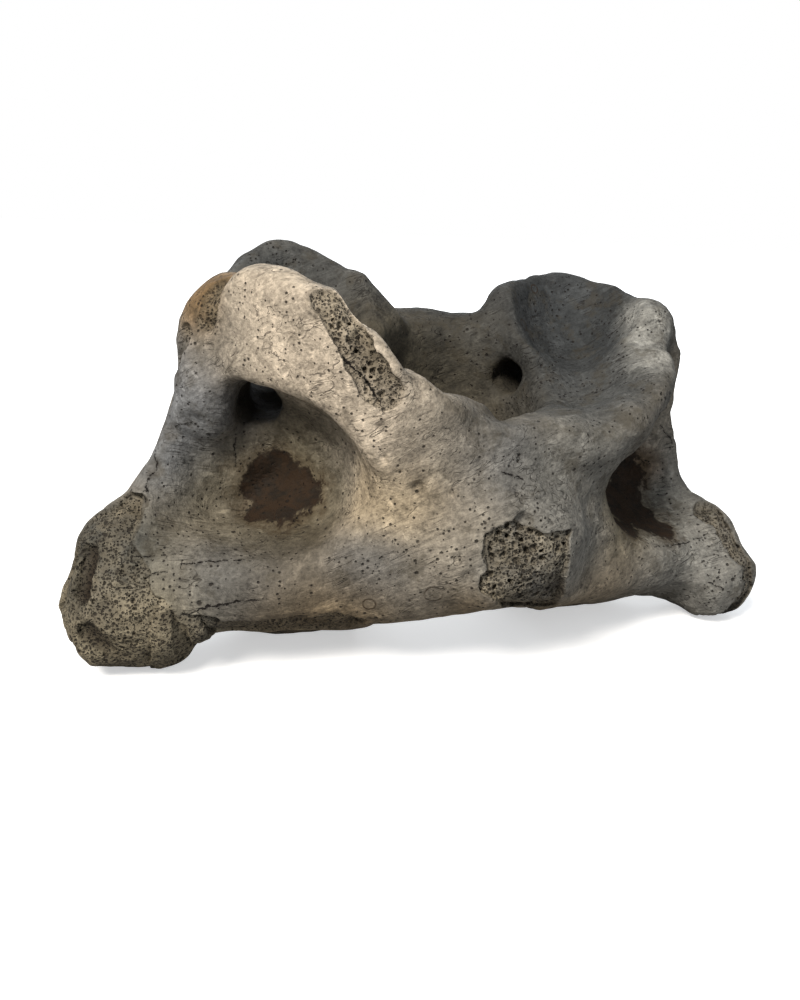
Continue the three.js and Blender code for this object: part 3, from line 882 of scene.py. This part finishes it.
def attributeOf(tree, name, output="Fac"):
    return add(tree, "ShaderNodeAttribute", attribute_name=name).outputs[output]


def parts(tree, vector):
    return add(tree, "ShaderNodeSeparateXYZ", {"Vector": vector}).outputs


def solid(code):
    return (*linear(code), 1.0)


def stained(tree, colour, amount, code):
    return mixed(tree, amount, colour, solid(code))


def newMaterial(name):
    material = bpy.data.materials.new(name)
    material.use_nodes = True
    material.node_tree.nodes.clear()
    return material, material.node_tree


floatSocket, vectorSocket = "NodeSocketFloat", "NodeSocketVector"


def newGroup(name, inputs, outputs):
    tree = bpy.data.node_groups.new(name, "ShaderNodeTree")
    for key, kind in inputs.items():
        tree.interface.new_socket(key, in_out="INPUT", socket_type=kind)
    for key in outputs:
        tree.interface.new_socket(key, in_out="OUTPUT", socket_type=floatSocket)
    return tree, tree.nodes.new("NodeGroupInput").outputs, tree.nodes.new("NodeGroupOutput").inputs


def useGroup(tree, group, inputs):
    return add(tree, "ShaderNodeGroup", inputs, node_tree=group).outputs


# most of a noise's values lie between these
noiseRange = (0.3, 0.7)
# fine fibres of compact bone, out along each wing or across the middle; positions are in metres
fibre = {
    "turns": [(0, -12, 170), (0, 14, 10), (0, 28, 20)],   # left wing, right wing, middle
    "length": 130.0,
    "width": 1000.0,
    "streaks": (1.0, 4.0, 0.7, 0.8),   # noises: scale, detail, roughness, distortion
    "slits": (0.45, 1.0, 0.5, 1.5),
    "patches": (150.0, 3.0, 0.6),
    "slitWidth": 0.028,
    "patchRange": (0.46, 0.62),
}


def makeFibres():
    tree, given, result = newGroup("boneFibres", {"Position": vectorSocket, "Weights": vectorSocket},
                                   ("Streaks", "Slits"))
    weights = parts(tree, given["Weights"])
    streaks, slits = [], []
    for weight, turn in zip(weights, fibre["turns"]):
        turned = add(tree, "ShaderNodeMapping", {
            "Vector": given["Position"], "Rotation": [math.radians(angle) for angle in turn],
        }).outputs[0]
        size = (fibre["length"], fibre["width"], fibre["width"])
        stretched = add(tree, "ShaderNodeVectorMath", {0: turned, 1: size}, operation="MULTIPLY").outputs[0]
        streaks.append(times(tree, noiseOf(tree, stretched, *fibre["streaks"]), weight))
        fromMiddle = calc(tree, "ABSOLUTE", calc(tree, "SUBTRACT", noiseOf(tree, stretched, *fibre["slits"]), 0.5))
        slits.append(times(tree, spread(tree, fromMiddle, fibre["slitWidth"], 0.0), weight))
    patchy = spread(tree, noiseOf(tree, given["Position"], *fibre["patches"]), *fibre["patchRange"])
    tree.links.new(plus(tree, *streaks), result["Streaks"])
    tree.links.new(times(tree, plus(tree, *slits), patchy), result["Slits"])
    return tree


# small dark pores: round dots of several sizes, kept where the amount is high; scale per metre, radius, share
poreLayers = {
    "skin": [(250.0, 0.15, 0.4), (540.0, 0.2, 0.55), (1050.0, 0.29, 0.7)],
    "spongy": [(700.0, 0.3, 0.5), (1450.0, 0.44, 0.9), (2500.0, 0.44, 0.7)],
}
poreSizes = (0.6, 1.2)   # parts of that radius
poreRim = 0.5


def makePores(name, layers):
    tree, given, result = newGroup(name, {"Position": vectorSocket, "Amount": floatSocket}, ("Pores",))
    dots = []
    for scale, radius, share in layers:
        cells = add(tree, "ShaderNodeTexVoronoi", {"Vector": given["Position"], "Scale": scale, "Randomness": 1.0})
        chance, sizeChance, _ = parts(tree, cells.outputs["Color"])
        kept = calc(tree, "LESS_THAN", chance, times(tree, given["Amount"], share))
        size = spread(tree, sizeChance, 0.0, 1.0, *(radius * part for part in poreSizes))
        reach = calc(tree, "DIVIDE", cells.outputs["Distance"], size)
        dots.append(times(tree, spread(tree, reach, 1.0, poreRim), kept))
    tree.links.new(folded(tree, "MAXIMUM", dots), result["Pores"])
    return tree


# a hairline crack wanders from side to side, narrows here and there, and tapers to its ends; millimetres
crackLine = {
    "wander": (380.0, 5.0, 0.7),   # noises: scale, detail, roughness
    "thin": (700.0, 3.0, 0.7),
    "wanderReach": 2.4,
    "thinRange": (0.4, 0.62),
    "start": (0.0, 0.18),          # parts of its length
    "end": (1.0, 0.7),
    "halfWidth": 0.55,
    "leastWidth": 0.05,
    "leastOpening": 0.02,
    "edge": (0.05, -0.05),
    "softEdge": (0.5, 0.0),
}


def makeCrack():
    # from a stored vector: millimetres across the crack, part of its length, width
    tree, given, result = newGroup("boneCrack", {"Crack": vectorSocket, "Position": vectorSocket},
                                   ("Crack", "Soft Edge"))
    across, along, width = parts(tree, given["Crack"])
    wander = calc(tree, "SUBTRACT", noiseOf(tree, given["Position"], *crackLine["wander"]), 0.5)
    gap = calc(tree, "ABSOLUTE", plus(tree, across, times(tree, wander, crackLine["wanderReach"])))
    ends = times(tree, spread(tree, along, *crackLine["start"]), spread(tree, along, *crackLine["end"]))
    thin = spread(tree, noiseOf(tree, given["Position"], *crackLine["thin"]), *crackLine["thinRange"])
    opening = times(tree, width, ends, crackLine["halfWidth"], thin)
    shown = times(tree, calc(tree, "GREATER_THAN", width, crackLine["leastWidth"]),
                  calc(tree, "GREATER_THAN", opening, crackLine["leastOpening"]))
    beside = calc(tree, "SUBTRACT", gap, opening)
    for key, edge in (("Crack", "edge"), ("Soft Edge", "softEdge")):
        tree.links.new(times(tree, spread(tree, beside, *crackLine[edge]), shown), result[key])
    return tree


boneFibres, boneCrack = makeFibres(), makeCrack()
skinPores, spongyPores = (makePores(key + "Pores", layers) for key, layers in poreLayers.items())

bone = {
    "broad": (110.0, 5.0, 0.65),        # noises: scale, detail, roughness, distortion
    "patch": (300.0, 6.0, 0.7, 0.6),
    "fine": (1300.0, 5.0, 0.7),
    "dirt": (170.0, 5.0, 0.7),
    "streakShade": 0.26,                # how far each changes how light the bone is
    "broadShade": 0.3,
    "fineShade": 0.36,
    "patchShade": 0.2,
    "flakeShade": 0.28,
    "patchRange": (0.35, 0.65),
    "flakeRange": (0.57, 0.61),
    # grime darkens the dirt patches and is also painted shade in the hollows
    "grimeAndShade": "3d3628",                  # colours
    "poreColour": "1c1712",
    "crackColour": "17120e",
    # the first foam colour is painted shade for the open spongy bone deep under the skin
    "foamDepthShade": "2c241a",
    "foamTop": "9b8f78",
    "foamDark": "4b4436",
    "dirtRange": (0.52, 0.62, 0.0, 0.4),   # from and to these values, and the amounts there
    # the next two set the painted shade in the hollows: by how deep the hollow is, and more in some broad patches
    "hollowRange": (0.15, 0.9, 0.0, 0.6),
    "hollowPatches": (0.35, 0.65, 0.6, 1.3),
    "poreClusters": (0.38, 0.62, 0.15, 1.5),
    "slitAmount": 0.7,
    "poreAmount": 0.85,
    "crackEdgeAmount": 0.35,
    "rough": (0.7, 0.92),
    "heights": {"streaks": 0.2, "fine": 0.22, "broad": 1.2, "slits": -0.15, "pores": -0.3, "crack": -0.5},   # mm
}
# brown stains: millimetres from the stain's outline, and the amounts there
stainLook = {
    "broadReach": 3.0,
    "patchReach": 1.6,
    "inside": (0.8, -0.6, 0.0, 0.92),
    "edgeOut": (0.9, 0.3),
    "edgeIn": (-1.2, -0.2),
    "edgeAmount": 0.6,
    "halo": (4.5, 0.2, 0.0, 0.6),
    "darkRange": (0.45, 0.6),
    "ringRange": (0.36, 0.5, 0.3, 1.0),
}
# spongy bone: from and to these millimetres past the broken edge or under the skin, or values of a noise
spongyLook = {
    "inside": (0.15, -0.25),
    # painted shade deeper in the open cells, from and to these millimetres under the skin
    "deep": (-1.1, -3.0),
    "topRange": (0.4, 0.6, 0.05, 0.5),
    "darkRange": (0.44, 0.58, 0.0, 0.55),
}


def shadedColour(tree, broad, patch, fine, streaks):
    shade = plus(
        tree,
        spread(tree, broad, *noiseRange, 1 - bone["broadShade"], 1 + bone["broadShade"]),
        spread(tree, fine, *noiseRange, -bone["fineShade"], bone["fineShade"]),
        spread(tree, streaks, *noiseRange, -bone["streakShade"], bone["streakShade"]),
        spread(tree, patch, *bone["patchRange"], -bone["patchShade"], bone["patchShade"]),
        spread(tree, patch, *bone["flakeRange"], 0.0, bone["flakeShade"]),
    )
    return mixed(tree, 1.0, attributeOf(tree, "tint", "Vector"), shade, "MULTIPLY")


# dirt patches, then painted shade in the hollows, both in the grime colour
def withDirtAndHollowShade(tree, colour, position, broad):
    dirt = spread(tree, noiseOf(tree, position, *bone["dirt"]), *bone["dirtRange"])
    colour = stained(tree, colour, dirt, bone["grimeAndShade"])
    grimeAndShade = times(tree, spread(tree, attributeOf(tree, "hollow"), *bone["hollowRange"]),
                  spread(tree, broad, *bone["hollowPatches"]))
    return stained(tree, colour, grimeAndShade, bone["grimeAndShade"])


def withStains(tree, colour, position, broad, patch):
    broadReach, patchReach = stainLook["broadReach"], stainLook["patchReach"]
    ragged = plus(
        tree, attributeOf(tree, "stain"),
        spread(tree, broad, *noiseRange, -broadReach, broadReach),
        spread(tree, patch, *noiseRange, -patchReach, patchReach),
    )
    dark = spread(tree, patch, *stainLook["darkRange"])
    stain = stained(tree, solid(stainColours["middle"]), dark, stainColours["dark"])
    edge = times(tree, spread(tree, ragged, *stainLook["edgeOut"]), spread(tree, ragged, *stainLook["edgeIn"]))
    colour = stained(tree, colour, spread(tree, ragged, *stainLook["halo"]), stainColours["halo"])
    colour = mixed(tree, spread(tree, ragged, *stainLook["inside"]), colour, stain)
    colour = stained(tree, colour, times(tree, edge, stainLook["edgeAmount"]), stainColours["edge"])
    for place, radius in ringMarks:
        centre = [c * mm for c in onSurface([place])[0] + shift]
        reach = add(tree, "ShaderNodeVectorMath", {0: position, 1: centre}, operation="DISTANCE").outputs["Value"]
        offset = calc(tree, "ABSOLUTE", calc(tree, "SUBTRACT", reach, radius * mm))
        line = times(tree, spread(tree, offset, ringLine * mm, 0.0), spread(tree, patch, *stainLook["ringRange"]))
        colour = stained(tree, colour, line, stainColours["ring"])
    return colour


def makeBoneMaterial(name, spongy):
    material, tree = newMaterial(name)
    position = add(tree, "ShaderNodeTexCoord").outputs["Object"]
    broad, patch, fine = (noiseOf(tree, position, *bone[key]) for key in ("broad", "patch", "fine"))
    fibres = attributeOf(tree, "fibres", "Vector")
    streaks, slits = useGroup(tree, boneFibres, {"Position": position, "Weights": fibres})
    clusters = times(tree, attributeOf(tree, "pores"), spread(tree, broad, *bone["poreClusters"]))
    pores = useGroup(tree, skinPores, {"Position": position, "Amount": clusters})[0]
    found = [useGroup(tree, boneCrack, {"Crack": attributeOf(tree, key, "Vector"), "Position": position})
             for key in ("crackA", "crackB")]
    crack, crackEdge = (folded(tree, "MAXIMUM", [one[index] for one in found]) for index in range(2))

    colour = shadedColour(tree, broad, patch, fine, streaks)
    colour = withDirtAndHollowShade(tree, colour, position, broad)
    colour = withStains(tree, colour, position, broad, patch)
    if spongy:
        inside = spread(tree, attributeOf(tree, "gap"), *spongyLook["inside"])
        # painted shade: the open spongy bone darkens deeper under the skin
        deep = spread(tree, attributeOf(tree, "depth"), *spongyLook["deep"])
        top = stained(tree, colour, spread(tree, broad, *spongyLook["topRange"]), bone["foamTop"])
        top = stained(tree, top, spread(tree, patch, *spongyLook["darkRange"]), bone["foamDark"])
        colour = mixed(tree, inside, colour, stained(tree, top, deep, bone["foamDepthShade"]))
        cellPores = useGroup(tree, spongyPores, {"Position": position, "Amount": 1.0})[0]
        pores = folded(tree, "MAXIMUM", [pores, times(tree, cellPores, inside)])
    colour = stained(tree, colour, times(tree, slits, bone["slitAmount"]), bone["crackColour"])
    colour = stained(tree, colour, times(tree, pores, bone["poreAmount"]), bone["poreColour"])
    colour = stained(tree, colour, times(tree, crackEdge, bone["crackEdgeAmount"]), bone["crackColour"])
    colour = stained(tree, colour, crack, bone["crackColour"])

    relieved = {"streaks": streaks, "fine": fine, "broad": broad, "slits": slits, "pores": pores, "crack": crack}
    height = plus(tree, *(times(tree, relieved[key], size) for key, size in bone["heights"].items()))
    normal = add(tree, "ShaderNodeBump", {"Height": height, "Strength": 1.0, "Distance": mm}).outputs["Normal"]
    shader = add(tree, "ShaderNodeBsdfPrincipled", {
        "Base Color": colour, "Roughness": spread(tree, fine, *noiseRange, *bone["rough"]), "Normal": normal,
        "Specular IOR Level": 0.25,
    })
    add(tree, "ShaderNodeOutputMaterial", {"Surface": shader.outputs["BSDF"]})
    return material


skinMaterial = makeBoneMaterial("dryBone", False)
spongyMaterial = makeBoneMaterial("spongyBone", True)
for piece in bonePieces:
    piece.data.materials.append(spongyMaterial if piece is not bonePieces[0] else skinMaterial)
    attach(piece, "root")
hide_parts("atlas")
print("materials made")


# studio: a white floor and world, a warm light from the left front, cool ones from the right and from behind
studio = {
    "floorSize": 6.0, "floorColour": 0.9, "floorBounce": 0.3,
    "glow": (0.12, 0.4, 0.5, 1.1),   # the floor's own white: from and to this many metres away, near and far
    "world": (0.88, 0.94, 1.0), "worldStrength": 0.24,
    "aim": (0, 0, 0.04),
    "lights": {   # place, size, power, colour
        "key": ((-0.62, -0.55, 0.8), 0.35, 17.0, (1.0, 0.95, 0.88)),
        "fill": ((0.5, -0.9, 0.5), 0.9, 2.6, (0.86, 0.92, 1.0)),
        "back": ((0.2, 1.0, 0.55), 0.9, 6.0, (0.9, 0.95, 1.0)),
    },
}


def makeLight(name, place, size, power, colour):
    data = bpy.data.lights.new(name, "AREA")
    data.shape, data.size = "SQUARE", size
    data.energy, data.color = power, colour
    light = newObject(name, data)
    light.location = place
    light.rotation_euler = (Vector(studio["aim"]) - Vector(place)).to_track_quat("-Z", "Y").to_euler()


def makeFloor():
    half = studio["floorSize"] / 2
    mesh = bpy.data.meshes.new("floor")
    mesh.from_pydata([(-half, -half, 0), (half, -half, 0), (half, half, 0), (-half, half, 0)], [], [(0, 1, 2, 3)])
    floor = newObject("floor", mesh)
    material, tree = newMaterial("paleFloor")
    seen = add(tree, "ShaderNodeLightPath").outputs["Is Camera Ray"]
    place = add(tree, "ShaderNodeTexCoord").outputs["Object"]
    reach = add(tree, "ShaderNodeVectorMath", {0: place}, operation="LENGTH").outputs["Value"]
    shader = add(tree, "ShaderNodeBsdfPrincipled", {
        "Base Color": spread(tree, seen, 0.0, 1.0, studio["floorBounce"], studio["floorColour"]),
        "Roughness": 0.95, "Specular IOR Level": 0.0, "Emission Color": (1, 1, 1, 1),
        "Emission Strength": times(tree, seen, spread(tree, reach, *studio["glow"])),
    })
    add(tree, "ShaderNodeOutputMaterial", {"Surface": shader.outputs["BSDF"]})
    mesh.materials.append(material)


for name, spec in studio["lights"].items():
    makeLight(name, *spec)
makeFloor()
world = bpy.data.worlds.new("studio")
world.use_nodes = True
tree = world.node_tree
background = tree.nodes["Background"]
seen = add(tree, "ShaderNodeLightPath").outputs["Is Camera Ray"]
tree.links.new(mixed(tree, seen, (*studio["world"], 1), (1, 1, 1, 1)), background.inputs["Color"])
tree.links.new(spread(tree, seen, 0.0, 1.0, studio["worldStrength"], 1.0), background.inputs["Strength"])
bpy.context.scene.world = world
bpy.context.scene.view_settings.view_transform = "Standard"
print("studio made")
